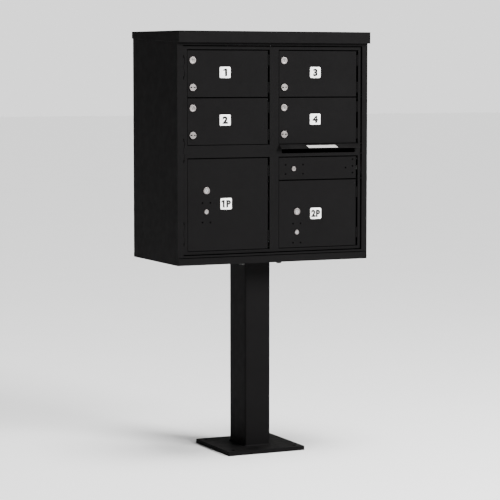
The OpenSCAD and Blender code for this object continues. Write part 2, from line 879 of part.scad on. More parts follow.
module carrier_lock_plug() {
    crank_w = crank_pin_d + 2;
    color(bright)
        union() {
            lock_plug(carrier_x, carrier_z, small_plug_d, small_keyway_h, crank_y + crank_t, small_front);
            along_y(carrier_x, carrier_z, small_plug_d + 2, crank_y, crank_y + crank_t);
            along_y(crank_px, crank_pz, crank_w, crank_y, crank_y + crank_t);
            translate([carrier_x, crank_y, carrier_z])
                rotate([0, -45, 0])
                    translate([-crank_w / 2, 0, 0])
                        cube([crank_w, crank_t, crank_r]);
            along_y(crank_px, crank_pz, crank_pin_d, crank_y + crank_t, bolt_y + bolt_t + 1);
        }
}

module lock_bolt() {
    slot_low = crank_pz - crank_pin_d / 2 - 1;
    slot_high = carrier_z + crank_r + crank_pin_d / 2 + 1;
    head_w = 20;
    over_slot = 4;
    head_x = [crank_px - head_w / 2, crank_px + head_w / 2];
    y = [bolt_y, bolt_y + bolt_t];
    low = carrier_z - bolt_h / 2;
    color(bright)
        difference() {
            union() {
                box([head_x[0], bolt_end], y, [low, carrier_z + bolt_h / 2]);
                box(head_x, y, [low, slot_high + over_slot]);
            }
            box([crank_px - bolt_slot_w / 2, crank_px + bolt_slot_w / 2], [y[0] - cut, y[1] + cut],
                [slot_low, slot_high]);
        }
}

// -------------------------------------------------------------------- doors

// A door's plate with its hinge barrels, before its lock holes are cut.
module door_blank(d) {
    x = pin_x[d[0]];
    difference() {
        union() {
            box([door_x[d[0]], door_x[d[0]] + door_w], [leaf_y, leaf_y + door_t], [d[1], d[1] + d[2]]);
            for (z = hinge_z(d)) {
                b = [z - (barrel_h - seat) / 2, z + (barrel_h - seat) / 2];
                upright(x, pin_y, barrel_d, b[0], b[1]);
                box([x - strap_door, x], [leaf_y + door_t, pin_y + strap_t - seat], b);
            }
        }
        for (z = hinge_z(d))
            upright(x, pin_y, pin_d + 2 * fit, z - barrel_h, z + barrel_h);
    }
}

module lock_hole(x, z, barrel) {
    along_y(x, z, barrel + 2 * hole, leaf_y - cut, leaf_y + door_t + cut);
}

module tenant_door(d) {
    color(powder)
        difference() {
            door_blank(d);
            lock_hole(lock_x(d), lock_z(d), lock_barrel_d);
            lock_hole(lock_x(d), d[1] + pull_up, pull_shank_d);
        }
}

module tenant_lock_case(d) {
    lock_case(lock_x(d), lock_z(d), lock_face_d, lock_barrel_d, lock_plug_d, cam_y - seat);
}

module tenant_lock_plug(d) {
    color(bright)
        union() {
            lock_plug(lock_x(d), lock_z(d), lock_plug_d, keyway_h, cam_y + cam_t);
            cam(lock_x(d), lock_z(d), cam_y, tenant_lock_in + cam_reach, cam_w, -1);
        }
}

// A fixed round pull: a thick disc with a pocket to the left and right of a web that fingertips grip.
module pull_knob(d) {
    x = lock_x(d);
    z = d[1] + pull_up;
    color(bright)
        difference() {
            union() {
                along_y(x, z, pull_d, leaf_y - pull_t + pull_step, leaf_y);
                along_y(x, z, pull_d - 2 * pull_step, leaf_y - pull_t, leaf_y - pull_t + pull_step);
                along_y(x, z, pull_shank_d, leaf_y, leaf_y + door_t + nut_t + 1);
                translate([x, leaf_y + door_t + fit, z])
                    rotate([-90, 0, 0])
                        cylinder(d = pull_shank_d * 1.8, h = nut_t, $fn = 6);
            }
            for (s = [-1, 1])
                translate([x + s * (pull_web + pocket_w) / 2, 0, 0])
                    box([-pocket_w / 2, pocket_w / 2], [leaf_y - pull_t - cut, leaf_y - pull_t + pocket_d],
                        [z - pocket_h / 2, z + pocket_h / 2]);
        }
}

housing_down = 3;
function housing_z(d) = control_z(d) - housing_down;

module housing_rivet_places(d) {
    for (x = [-1, 1], z = [-1, 1])
        translate([lock_x(d) + x * housing_rivets_x / 2, 0, housing_z(d) + z * housing_rivets_z / 2])
            children();
}

module parcel_door(d) {
    color(powder)
        difference() {
            door_blank(d);
            lock_hole(lock_x(d), lock_z(d), lock_barrel_d);
            lock_hole(lock_x(d), control_z(d), small_barrel_d);
            housing_rivet_places(d)
                along_y(0, 0, rivet_d / 2 + 2 * fit, leaf_y - cut, leaf_back + cut);
        }
}

module customer_lock_plug(d) {
    color(bright)
        union() {
            lock_plug(lock_x(d), lock_z(d), lock_plug_d, keyway_h, cam_y + cam_t);
            cam(lock_x(d), lock_z(d), cam_y, parcel_lock_in + cam_reach, cam_w, 1);
        }
}

// The control lock's case ends inside its latch housing.
control_depth = 8;
control_end = leaf_y + door_t + control_depth;
module control_lock_case(d) {
    lock_case(lock_x(d), control_z(d), small_face_d, small_barrel_d, small_plug_d, control_end,
        small_front);
}

module control_lock_plug(d) {
    cam_y0 = control_end + seat;
    color(bright)
        union() {
            lock_plug(lock_x(d), control_z(d), small_plug_d, small_keyway_h, cam_y0 + cam_t, small_front);
            cam(lock_x(d), control_z(d), cam_y0, small_cam_l, small_plug_d, -1);
        }
}

module latch_housing(d) {
    past_rivet = 6;
    half_x = housing_rivets_x / 2 + past_rivet;
    half_z = housing_rivets_z / 2 + past_rivet;
    z = housing_z(d);
    x = lock_x(d);
    front = leaf_y + door_t;
    pad = 13;
    grip = 7;
    color(powder) {
        difference() {
            box([x - half_x, x + half_x], [front, front + housing_d], [z - half_z, z + half_z]);
            box([x - half_x + housing_wall, x + half_x - housing_wall], [front - cut,
                front + housing_d - housing_wall], [z - half_z + pad, z + half_z - pad]);
            housing_rivet_places(d)
                along_y(0, 0, rivet_d / 2 + 2 * fit, front - cut, front + grip + 1);
        }
        housing_rivet_places(d)
            rivet(0, 0, leaf_y, door_t + grip);
    }
}

// ------------------------------------------------------------------ drawing

base_plate();
pedestal_post();
mounting_flange();
cabinet_bolts();
bottom_pan();
left_panel();
right_panel();
back_panel();
back_rivets();
top_panel();
hood();
head_rail();
sill_rail();
strike_plate();
centre_partition();
left_shelves();
right_shelves();
compartment_floor();
outgoing_baffle();
master_hinge_leaves();
master_hinge_pins();
master_door();
door_stop_frame();
door_hinge_leaves();
door_hinge_pins();
lock_strikes();
outgoing_awning();
lock_panel();
bolt_guides();
carrier_lock_case();
carrier_lock_plug();
lock_bolt();
tenant_door(DOORS[0]);  // tenant_door_1
tenant_door(DOORS[1]);  // tenant_door_2
tenant_door(DOORS[2]);  // tenant_door_3
tenant_door(DOORS[3]);  // tenant_door_4
tenant_lock_case(DOORS[0]);  // lock_case_1
tenant_lock_case(DOORS[1]);  // lock_case_2
tenant_lock_case(DOORS[2]);  // lock_case_3
tenant_lock_case(DOORS[3]);  // lock_case_4
tenant_lock_plug(DOORS[0]);  // lock_plug_1
tenant_lock_plug(DOORS[1]);  // lock_plug_2
tenant_lock_plug(DOORS[2]);  // lock_plug_3
tenant_lock_plug(DOORS[3]);  // lock_plug_4
pull_knob(DOORS[0]);  // pull_knob_1
pull_knob(DOORS[1]);  // pull_knob_2
pull_knob(DOORS[2]);  // pull_knob_3
pull_knob(DOORS[3]);  // pull_knob_4
parcel_door(DOORS[4]);  // parcel_door_1
parcel_door(DOORS[5]);  // parcel_door_2
tenant_lock_case(DOORS[4]);  // customer_lock_case_1
tenant_lock_case(DOORS[5]);  // customer_lock_case_2
customer_lock_plug(DOORS[4]);  // customer_lock_plug_1
customer_lock_plug(DOORS[5]);  // customer_lock_plug_2
control_lock_case(DOORS[4]);  // control_lock_case_1
control_lock_case(DOORS[5]);  // control_lock_case_2
control_lock_plug(DOORS[4]);  // control_lock_plug_1
control_lock_plug(DOORS[5]);  // control_lock_plug_2
latch_housing(DOORS[4]);  // latch_housing_1
latch_housing(DOORS[5]);  // latch_housing_2
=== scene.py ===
import json
import math

import bmesh
import bpy
from mathutils import Matrix, Vector


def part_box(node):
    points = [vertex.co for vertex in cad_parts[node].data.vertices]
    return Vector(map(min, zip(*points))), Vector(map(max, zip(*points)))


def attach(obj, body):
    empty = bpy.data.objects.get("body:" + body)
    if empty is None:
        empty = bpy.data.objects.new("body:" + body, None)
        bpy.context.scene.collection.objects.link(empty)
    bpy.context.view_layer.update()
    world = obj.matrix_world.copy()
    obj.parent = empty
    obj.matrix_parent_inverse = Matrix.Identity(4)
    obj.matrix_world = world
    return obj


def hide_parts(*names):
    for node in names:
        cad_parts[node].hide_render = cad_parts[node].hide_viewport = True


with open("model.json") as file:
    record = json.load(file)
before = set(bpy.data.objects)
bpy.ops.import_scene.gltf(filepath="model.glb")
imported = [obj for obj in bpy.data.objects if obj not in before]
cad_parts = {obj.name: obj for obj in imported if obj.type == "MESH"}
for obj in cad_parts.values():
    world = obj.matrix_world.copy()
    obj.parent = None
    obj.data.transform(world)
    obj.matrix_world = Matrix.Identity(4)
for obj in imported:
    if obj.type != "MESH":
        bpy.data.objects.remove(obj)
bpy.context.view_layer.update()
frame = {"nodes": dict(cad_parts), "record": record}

MM = 0.001
DOORS = {
    "tenant_1": "tenant_door_1", "tenant_2": "tenant_door_2", "tenant_3": "tenant_door_3",
    "tenant_4": "tenant_door_4", "parcel_1": "parcel_door_1", "parcel_2": "parcel_door_2",
}


# ------------------------------------------------------------------ materials

class Graph:
    """A material's node graph, with its Principled shader and short calls to add and join nodes."""

    def __init__(self, name, colour, roughness, metallic=0.0):
        self.material = bpy.data.materials.new(name)
        self.material.use_nodes = True
        self.tree = self.material.node_tree
        self.shader = self.tree.nodes["Principled BSDF"]
        self.set(self.shader, "Base Color", (*colour, 1.0))
        self.set(self.shader, "Roughness", roughness)
        self.set(self.shader, "Metallic", metallic)
        self.place = self.add("ShaderNodeTexCoord").outputs["Object"]

    def add(self, kind, **settings):
        node = self.tree.nodes.new(kind)
        for key, value in settings.items():
            setattr(node, key, value)
        return node

    def set(self, node, socket, value):
        if isinstance(value, bpy.types.NodeSocket):
            self.tree.links.new(value, node.inputs[socket])
        else:
            node.inputs[socket].default_value = value

    def stretch(self, x, y, z):
        node = self.add("ShaderNodeMapping")
        self.set(node, "Vector", self.place)
        self.set(node, "Scale", (x, y, z))
        return node.outputs["Vector"]

    def noise(self, scale, detail=2.0, vector=None):
        node = self.add("ShaderNodeTexNoise")
        self.set(node, "Vector", vector or self.place)
        self.set(node, "Scale", scale)
        self.set(node, "Detail", detail)
        return node.outputs["Fac"]

    def remap(self, value, low, high, to_low, to_high):
        node = self.add("ShaderNodeMapRange")
        for socket, number in zip(("Value", "From Min", "From Max", "To Min", "To Max"),
                                  (value, low, high, to_low, to_high)):
            self.set(node, socket, number)
        return node.outputs["Result"]

    def math(self, operation, a, b=0.0):
        node = self.add("ShaderNodeMath", operation=operation)
        self.set(node, 0, a)
        self.set(node, 1, b)
        return node.outputs["Value"]

    def mix(self, factor, a, b):
        node = self.add("ShaderNodeMix", data_type="RGBA")
        self.set(node, 0, factor)
        for socket, colour in ((6, a), (7, b)):
            self.set(node, socket, colour if isinstance(colour, bpy.types.NodeSocket) else (*colour, 1.0))
        return node.outputs[2]

    def bump(self, heights):
        """Joins (height, strength, depth) layers into the shader's normal."""
        normal = None
        for height, strength, depth in heights:
            node = self.add("ShaderNodeBump")
            self.set(node, "Height", height)
            self.set(node, "Strength", strength)
            self.set(node, "Distance", depth)
            if normal:
                self.set(node, "Normal", normal)
            normal = node.outputs["Normal"]
        self.set(self.shader, "Normal", normal)

    def edge_mask(self, radius):
        """1 on sharp edges, 0 on flats: how far a rounded normal turns from the true one."""
        bevel = self.add("ShaderNodeBevel", samples=6)
        self.set(bevel, "Radius", radius)
        flat = self.add("ShaderNodeNewGeometry")
        dot = self.add("ShaderNodeVectorMath", operation="DOT_PRODUCT")
        self.set(dot, 0, bevel.outputs["Normal"])
        self.set(dot, 1, flat.outputs["Normal"])
        return self.remap(dot.outputs["Value"], 0.995, 0.80, 0.0, 1.0)

    def facing_up(self):
        flat = self.add("ShaderNodeNewGeometry")
        split = self.add("ShaderNodeSeparateXYZ")
        self.set(split, "Vector", flat.outputs["Normal"])
        return self.remap(split.outputs["Z"], 0.6, 1.0, 0.0, 1.0)


def powder_coat(name, colour, worn):
    """Dull powder coat: fine orange peel, faint mottling, dust on top faces and thin wear on edges."""
    g = Graph(name, colour, 0.5)
    mottle = g.remap(g.noise(9.0, 4.0), 0.3, 0.7, 0.0, 1.0)
    lighter = tuple(1.12 * c for c in colour)
    base = g.mix(mottle, colour, lighter)
    speck = g.remap(g.noise(2400.0, 1.0), 0.62, 0.72, 0.0, 0.5)
    base = g.mix(speck, base, tuple(2.2 * c for c in colour))
    dust = g.math("MULTIPLY", g.facing_up(), g.remap(g.noise(14.0, 5.0), 0.35, 0.75, 0.0, 0.04))
    base = g.mix(dust, base, (0.14, 0.135, 0.125))
    patchy = g.remap(g.noise(55.0, 4.0), 0.45, 0.65, 0.15, 1.0)
    edge = g.math("MULTIPLY", g.edge_mask(0.9 * MM), patchy)
    edge = g.math("MULTIPLY", edge, worn)
    base = g.mix(edge, base, tuple(2.0 * c + 0.001 for c in colour))
    g.set(g.shader, "Base Color", base)
    rough = g.remap(g.noise(38.0, 3.0), 0.3, 0.7, 0.56, 0.66)
    g.set(g.shader, "Roughness", g.math("ADD", rough, g.math("MULTIPLY", dust, 0.8)))
    g.set(g.shader, "Specular IOR Level", 0.02)
    g.bump([(g.noise(620.0, 2.0), 0.35, 0.12 * MM), (g.noise(2600.0, 1.0), 0.3, 0.04 * MM)])
    return g.material


def mill_aluminium(name):
    """Bare sheet with its rolling marks along X, a little stained."""
    g = Graph(name, (0.50, 0.51, 0.52), 0.42, 0.9)
    grain = g.noise(260.0, 3.0, g.stretch(0.06, 1.0, 1.0))
    stain = g.remap(g.noise(11.0, 4.0), 0.3, 0.75, 0.0, 0.5)
    g.set(g.shader, "Base Color", g.mix(stain, (0.52, 0.53, 0.54), (0.36, 0.36, 0.36)))
    g.set(g.shader, "Roughness", g.remap(grain, 0.3, 0.7, 0.34, 0.55))
    g.bump([(grain, 0.25, 0.05 * MM), (g.noise(900.0), 0.1, 0.02 * MM)])
    return g.material


def satin_nickel(name, colour, rough):
    """Plated hardware: fine turned lines, faint smudges and brighter worn edges."""
    g = Graph(name, colour, rough, 1.0)
    smudge = g.remap(g.noise(140.0, 4.0), 0.35, 0.7, 0.0, 0.35)
    darker = tuple(0.72 * c for c in colour)
    base = g.mix(smudge, colour, darker)
    base = g.mix(g.math("MULTIPLY", g.edge_mask(0.3 * MM), 0.5), base, (0.93, 0.93, 0.92))
    g.set(g.shader, "Base Color", base)
    grain = g.noise(1500.0, 2.0, g.stretch(0.15, 1.0, 1.0))
    g.set(g.shader, "Roughness", g.remap(grain, 0.3, 0.7, rough - 0.06, rough + 0.08))
    g.bump([(grain, 0.15, 0.02 * MM)])
    return g.material


def label_stock_and_painted_shade(name, colour, rough, shine=0.5):
    """Printed label stock, and also the near-black painted shade materials: nearly plain, with faint
    yellowing and a soft surface.
    """
    g = Graph(name, colour, rough)
    g.set(g.shader, "Specular IOR Level", shine)
    g.set(g.shader, "Base Color", g.mix(g.remap(g.noise(60.0, 3.0), 0.35, 0.7, 0.0, 0.3), colour,
                                        tuple(c * k for c, k in zip(colour, (0.96, 0.95, 0.9)))))
    g.set(g.shader, "Roughness", g.remap(g.noise(300.0), 0.3, 0.7, rough - 0.05, rough + 0.07))
    g.bump([(g.noise(500.0, 3.0), 0.08, 0.03 * MM)])
    return g.material


def weld_metal(name, colour):
    """A painted weld bead, rougher than the sheet beside it."""
    g = Graph(name, colour, 0.55)
    g.set(g.shader, "Specular IOR Level", 0.02)
    g.set(g.shader, "Base Color", g.mix(g.noise(220.0, 3.0), colour, tuple(1.7 * c for c in colour)))
    g.bump([(g.noise(700.0, 3.0), 0.5, 0.2 * MM)])
    return g.material


def studio_floor(name):
    g = Graph(name, (0.94, 0.94, 0.935), 0.6)
    g.set(g.shader, "Base Color", g.mix(g.noise(1.6, 3.0), (0.95, 0.95, 0.945), (0.92, 0.92, 0.92)))
    return g.material


BLACK = (0.0042, 0.0040, 0.0041)
EDGE_WEAR = 0.3
POWDER = powder_coat("powder_coat_black", BLACK, EDGE_WEAR)
SHEET = mill_aluminium("mill_aluminium")
NICKEL = satin_nickel("satin_nickel", (0.175, 0.160, 0.155), 0.36)
STEEL = satin_nickel("zinc_steel", (0.30, 0.30, 0.305), 0.42)
# Dark steel for the cabinet bolts, and the painted shade of the curved groove on each tenant lock's plug
DARK_STEEL_AND_GROOVE_SHADE = satin_nickel("dark_steel_and_groove_shade", (0.04, 0.04, 0.04), 0.5)
# Near-black painted shade plates in the keyways and in the knob pockets
SHADOW = label_stock_and_painted_shade("keyway_shade_black", (0.006, 0.006, 0.006), 0.6, 0.05)
WHITE = label_stock_and_painted_shade("label_white", (0.95, 0.95, 0.94), 0.38)
GREY = label_stock_and_painted_shade("label_border", (0.70, 0.70, 0.71), 0.42)
INK = label_stock_and_painted_shade("label_ink", (0.006, 0.006, 0.006), 0.35, 0.06)
SILVER = label_stock_and_painted_shade("label_silver", (0.40, 0.39, 0.38), 0.36)
# Near-black painted shade for parts seen in the gaps, darker than the real powder coat
PAINTED_GAP_SHADE = label_stock_and_painted_shade("gap_shade_black", (0.0006, 0.0006, 0.0006), 0.7, 0.0)
WELD = weld_metal("weld_painted", tuple(1.1 * c for c in BLACK))
SLOTS = {"powder_coat": POWDER, "interior_sheet": SHEET, "bright_hardware": NICKEL}
NODE_MATERIALS = dict.fromkeys(
    ("strike_plate", "lock_strikes", "lock_bolt", "customer_lock_plug_1", "customer_lock_plug_2",
     "control_lock_plug_1", "control_lock_plug_2"), STEEL)
# Painted shade: the door stop frame seen through the door gaps, and the riveted bolt guides and latch
# housings, get the near-black gap shade
NODE_MATERIALS.update(dict.fromkeys(
    ("door_stop_frame", "bolt_guides", "latch_housing_1", "latch_housing_2"), PAINTED_GAP_SHADE))
NODE_MATERIALS["cabinet_bolts"] = DARK_STEEL_AND_GROOVE_SHADE
# Sheets whose edge faces get painted shade, as if in the dark of the gaps
SHADE_EDGED_SHEETS = set(DOORS.values()) | {"lock_panel", "head_rail", "sill_rail"}

# How far each sheet's edges are rounded, in millimetres
ROUNDED = {
    "base_plate": 1.0, "mounting_flange": 0.6, "bottom_pan": 0.7, "left_panel": 0.8, "right_panel": 0.8,
    "hood": 0.9, "head_rail": 0.6, "sill_rail": 0.6, "outgoing_awning": 0.5, "lock_panel": 0.45,
    "back_panel": 0.5,
}
ROUNDED.update({node: 0.45 for node in DOORS.values()})
SHARP = math.radians(50)
FLAT = math.radians(1)


def shade_faces(mesh, chosen):
    """Gives the faces with a chosen normal the near-black material used in the gaps: painted shade."""
    mesh.materials.append(PAINTED_GAP_SHADE)
    for face in mesh.polygons:
        if chosen(face.normal):
            face.material_index = 1


def dress_cad_nodes():
    """Gives each CAD node its material, and rounds the sheet edges a little with modifiers."""
    slot_of = {s["node"]: s["material_slot"] for s in frame["record"]["subparts"]}
    for name, node in frame["nodes"].items():
        material = NODE_MATERIALS.get(name, SLOTS[slot_of[name]])
        node.data.materials.clear()
        node.data.materials.append(material)
        # Painted shade on the edge faces of the doors, lock panel and rails, and on the compartment floor's
        # front faces seen under the leaf
        if name in SHADE_EDGED_SHEETS:
            shade_faces(node.data, lambda normal: abs(normal.y) < 0.5)
        if name == "compartment_floor":
            shade_faces(node.data, lambda normal: normal.y < -0.5)
        if name in ROUNDED:
            weld = node.modifiers.new("weld", "WELD")
            weld.merge_threshold = 0.01 * MM
            flats = node.modifiers.new("flats", "DECIMATE")
            flats.decimate_type = "DISSOLVE"
            flats.angle_limit = FLAT
            bevel = node.modifiers.new("rounding", "BEVEL")
            bevel.width = ROUNDED[name] * MM
            bevel.segments = 2
            bevel.limit_method = "ANGLE"
            bevel.angle_limit = SHARP


# --------------------------------------------------------------- mesh helpers

def new_piece(name, mesh, body, material):
    piece = bpy.data.objects.new(name, mesh)
    bpy.context.scene.collection.objects.link(piece)
    piece.data.materials.append(material)
    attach(piece, body)
    return piece


def mesh_of(bm, name, smooth_angle=35):
    """Turns a bmesh into a mesh with sharp edges past the angle and smooth ones below it."""
    bmesh.ops.recalc_face_normals(bm, faces=bm.faces)
    for face in bm.faces:
        face.smooth = True
    for edge in bm.edges:
        edge.smooth = len(edge.link_faces) == 2 and edge.calc_face_angle(0) < math.radians(smooth_angle)
    mesh = bpy.data.meshes.new(name)
    bm.to_mesh(mesh)
    bm.free()
    return mesh


def lathe(bm, profile, x, z, steps=56):
    """Turns (radius, y) points round the line along Y through x, z. The profile closes on itself."""
    rings = []
    for radius, y in profile:
        if radius < 1e-7:
            rings.append([bm.verts.new((x, y, z))])
            continue
        turn = [2 * math.pi * i / steps for i in range(steps)]
        rings.append([bm.verts.new((x + radius * math.cos(a), y, z + radius * math.sin(a))) for a in turn])
    for first, second in zip(rings, rings[1:] + rings[:1]):
        if len(first) == 1 and len(second) == 1:
            continue
        for i in range(steps):
            j = (i + 1) % steps
            corners = [first[i % len(first)], first[j % len(first)],
                       second[j % len(second)], second[i % len(second)]]
            bm.faces.new(list(dict.fromkeys(corners)))


def outline_prism(bm, points, y_front, y_back, round_edge=0.0):
    """A prism along Y on an (x, z) outline, its front edge rounded by scaling towards its centre."""
    cx = sum(p[0] for p in points) / len(points)
    cz = sum(p[1] for p in points) / len(points)
    levels = [(y_back, 0.0), (y_front, round_edge)]
    if round_edge:
        levels[1:1] = [(y_front + round_edge, 0.0), (y_front + 0.3 * round_edge, 0.3 * round_edge)]
    rings = []
    for y, inset in levels:
        ring = []
        for px, pz in points:
            reach = math.hypot(px - cx, pz - cz)
            k = 1 - inset / reach
            ring.append(bm.verts.new((cx + (px - cx) * k, y, cz + (pz - cz) * k)))
        rings.append(ring)
    count = len(points)
    for first, second in zip(rings, rings[1:]):
        for i in range(count):
            j = (i + 1) % count
            bm.faces.new((first[i], first[j], second[j], second[i]))
    bm.faces.new(rings[0])
    bm.faces.new(list(reversed(rings[-1])))


def round_rect(cx, cz, width, height, radius, steps=8):
    points = []
    for corner, (sx, sz) in enumerate(((1, 1), (-1, 1), (-1, -1), (1, -1))):
        for i in range(steps + 1):
            a = math.pi / 2 * (corner + i / steps)
            points.append((cx + sx * (width / 2 - radius) + radius * math.cos(a),
                           cz + sz * (height / 2 - radius) + radius * math.sin(a)))
    return points


def rectangle(cx, cz, half_w, half_h):
    return [(cx + sx * half_w, cz + sz * half_h) for sx, sz in ((1, 1), (-1, 1), (-1, -1), (1, -1))]


def centre_of(node):
    low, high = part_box(node)
    return (low + high) / 2


def front_of(node):
    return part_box(node)[0].y


# -------------------------------------------------------------------- labels

def add_flag(mesh):
    """Adds the short slanting stroke at the top left of a numeral 1 that the font leaves out."""
    left = min(v.co.x for v in mesh.vertices)
    top = max(v.co.y for v in mesh.vertices)
    tall = top - min(v.co.y for v in mesh.vertices)
    bm = bmesh.new()
    bm.from_mesh(mesh)
    stroke = ((0.0, 0.0), (-0.22, 0.17), (-0.22, 0.31), (0.0, 0.25))
    bm.faces.new([bm.verts.new((left + x * tall, top - y * tall, 0.0)) for x, y in stroke])
    bm.to_mesh(mesh)
    bm.free()


def number_mesh(text, x, z, y, height, stretch, bold):
    """Plain numerals as a thin mesh that faces the front, centred on x, z."""
    curve = bpy.data.curves.new("digits_" + text, "FONT")
    curve.body = text
    curve.align_x = "CENTER"
    curve.offset = bold
    curve.space_character = 1.12
    shape = bpy.data.objects.new("digits", curve)
    bpy.context.scene.collection.objects.link(shape)
    bpy.context.view_layer.update()
    mesh = bpy.data.meshes.new_from_object(shape.evaluated_get(bpy.context.evaluated_depsgraph_get()))
    bpy.data.objects.remove(shape)
    if text[0] == "1":
        add_flag(mesh)
    low = Vector([min(v.co[i] for v in mesh.vertices) for i in range(3)])
    high = Vector([max(v.co[i] for v in mesh.vertices) for i in range(3)])
    k = height / (high.y - low.y)
    middle = (low + high) / 2
    flat = Matrix.Diagonal((k * stretch, k, 1, 1)) @ Matrix.Translation(-middle)
    stand = Matrix.Translation((x, y, z)) @ Matrix.Rotation(math.pi / 2, 4, "X")
    mesh.transform(stand @ flat)
    bm = bmesh.new()
    bm.from_mesh(mesh)
    bmesh.ops.remove_doubles(bm, verts=bm.verts, dist=1e-6)
    grown = bmesh.ops.extrude_face_region(bm, geom=bm.faces[:])
    moved = [v for v in grown["geom"] if isinstance(v, bmesh.types.BMVert)]
    bmesh.ops.translate(bm, verts=moved, vec=(0, -INK_T, 0))
    return mesh_of(bm, "digits_" + text)


LABEL_T = 0.5 * MM
INK_T = 0.08 * MM
BORDER_T = 0.05 * MM
BOLD = 0.065


def number_label(body, node, text, x, z, width, height):
    """A white plate with rounded corners and its number, and a faint printed border if it has one digit."""
    face = front_of(node)
    bm = bmesh.new()
    outline_prism(bm, round_rect(x, z, width, height, 5 * MM), face - LABEL_T, face, 0.2 * MM)
    new_piece("label_" + body, mesh_of(bm, "label"), body, WHITE)
    top = face - LABEL_T
    tall, stretch = 0.66 * height, 0.98
    if len(text) == 1:
        tall, stretch = 0.68 * height, 1.15
        fields = ((0.62, 0.66, BORDER_T, GREY), (0.58, 0.62, INK_T, WHITE))
        for side, (w, h, depth, material) in enumerate(fields):
            bm = bmesh.new()
            outline_prism(bm, round_rect(x, z, w * width, h * height, 4 * MM), top - depth, top)
            new_piece("label_field_%d_%s" % (side, body), mesh_of(bm, "field"), body, material)
        top -= INK_T
    new_piece("number_" + body, number_mesh(text, x, z, top, tall, stretch, BOLD), body, INK)


def add_labels():
    """Tenant labels go by their door's edges, and parcel labels by their customer lock."""
    tenant_in, tenant_up = 148 * MM, 5 * MM
    for i in range(1, 5):
        body = "tenant_%d" % i
        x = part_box(DOORS[body])[0].x + tenant_in
        z = centre_of(DOORS[body]).z + tenant_up
        number_label(body, DOORS[body], "%d" % i, x, z, 43 * MM, 40 * MM)
    parcel_in = 78 * MM
    for i, drop in ((1, 49.5 * MM), (2, 9 * MM)):
        body = "parcel_%d" % i
        lock = centre_of("customer_lock_case_%d" % i)
        number_label(body, DOORS[body], "%dP" % i, lock.x + parcel_in, lock.z - drop, 45 * MM, 41 * MM)


def add_awning_label():
    """A blank silver strip on the awning's sloping face, where outgoing mail is marked."""
    low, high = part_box("outgoing_awning")
    inset, width, sheet = 108 * MM, 126 * MM, 1.6 * MM
    left_taper, right_taper = 5 * MM, 6 * MM
    x0 = low.x + inset
    x1 = x0 + width
    run = high.y - sheet - low.y
    drop = high.z - (low.z + sheet)
    slope = math.atan2(drop, run)
    start, end, thick = 0.30, 0.92, 0.3 * MM
    bm = bmesh.new()
    corners = []
    for lift in (0.0, thick):
        for x, t in ((x0, start), (x1 - right_taper, start), (x1, end), (x0 + left_taper, end)):
            y = high.y - sheet - t * run - lift * math.sin(slope)
            z = high.z - t * drop + lift * math.cos(slope)
            corners.append(bm.verts.new((x, y, z)))
    for ring in ((0, 1, 2, 3), (7, 6, 5, 4), (0, 4, 5, 1), (1, 5, 6, 2), (2, 6, 7, 3), (3, 7, 4, 0)):
        bm.faces.new([corners[i] for i in ring])
    new_piece("awning_label", mesh_of(bm, "awning_label"), "master_leaf", SILVER)


# --------------------------------------------------------------------- locks

BORE_FIT = 0.05 * MM
FACE_ROUND = 1.1 * MM
THREAD_PITCH = 1.0 * MM
THREAD_DEPTH = 0.35 * MM
NUT_T = 3.9 * MM
SHEET_T = 3.1 * MM


def threaded_case(node, body, face_d, barrel_d, bore_d, nut_d):
    """Stands for a lock case: rounded face with a sunk ring, threaded barrel and chamfered nut."""
    low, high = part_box(node)
    x = (low.x + high.x) / 2
    z = (low.z + high.z) / 2
    sheet_front = front_of(SHEET_OF[body])
    face_r, barrel_r = face_d / 2, barrel_d / 2
    bore_r = bore_d / 2 + BORE_FIT
    lip = low.y
    sunk_ring = ((0.0, 0.9), (0.7, 0.9), (1.1, 0.1), (1.5, 0.0))
    profile = [(bore_r + out * MM, lip + deep * MM) for out, deep in sunk_ring]
    for i in range(7):
        a = math.pi / 2 * i / 6
        profile.append((face_r - FACE_ROUND * (1 - math.sin(a)), lip + FACE_ROUND * (1 - math.cos(a))))
    profile += [(face_r, sheet_front), (barrel_r, sheet_front)]
    root_r = barrel_r - THREAD_DEPTH
    y = sheet_front + SHEET_T + 0.1 * MM
    while y < high.y - THREAD_PITCH:
        profile += [(barrel_r, y), (root_r, y + 0.5 * THREAD_PITCH)]
        y += THREAD_PITCH
    profile += [(root_r, high.y), (bore_r, high.y)]
    bm = bmesh.new()
    lathe(bm, profile, x, z)
    nut_y = sheet_front + SHEET_T
    hexagonal_nut(bm, nut_d / 2, barrel_r + 0.02 * MM, x, z, nut_y, nut_y + NUT_T)
    piece = new_piece("detailed_" + node, mesh_of(bm, node), body, NICKEL)
    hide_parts(node)


def hexagonal_nut(bm, corner_r, bore, x, z, y0, y1, steps=48):
    """A hexagon with chamfered corners round a bore, along Y."""
    chamfer = 0.6 * MM
    flat_r = corner_r * math.cos(math.pi / 6)
    turns = [2 * math.pi * i / steps for i in range(steps)]
    full = [flat_r / math.cos((a % (math.pi / 3)) - math.pi / 6) for a in turns]
    cut = [min(r, 1.03 * flat_r) for r in full]
    inner = [bore] * steps
    levels = [(y0, cut), (y0 + chamfer, full), (y1 - chamfer, full), (y1, cut), (y1, inner), (y0, inner)]
    rings = [[bm.verts.new((x + r * math.cos(a), y, z + r * math.sin(a))) for a, r in zip(turns, reach)]
             for y, reach in levels]
    for first, second in zip(rings, rings[1:] + rings[:1]):
        for i in range(steps):
            j = (i + 1) % steps
            bm.faces.new((first[i], first[j], second[j], second[i]))


SHEET_OF = {**DOORS, "master_leaf": "lock_panel"}


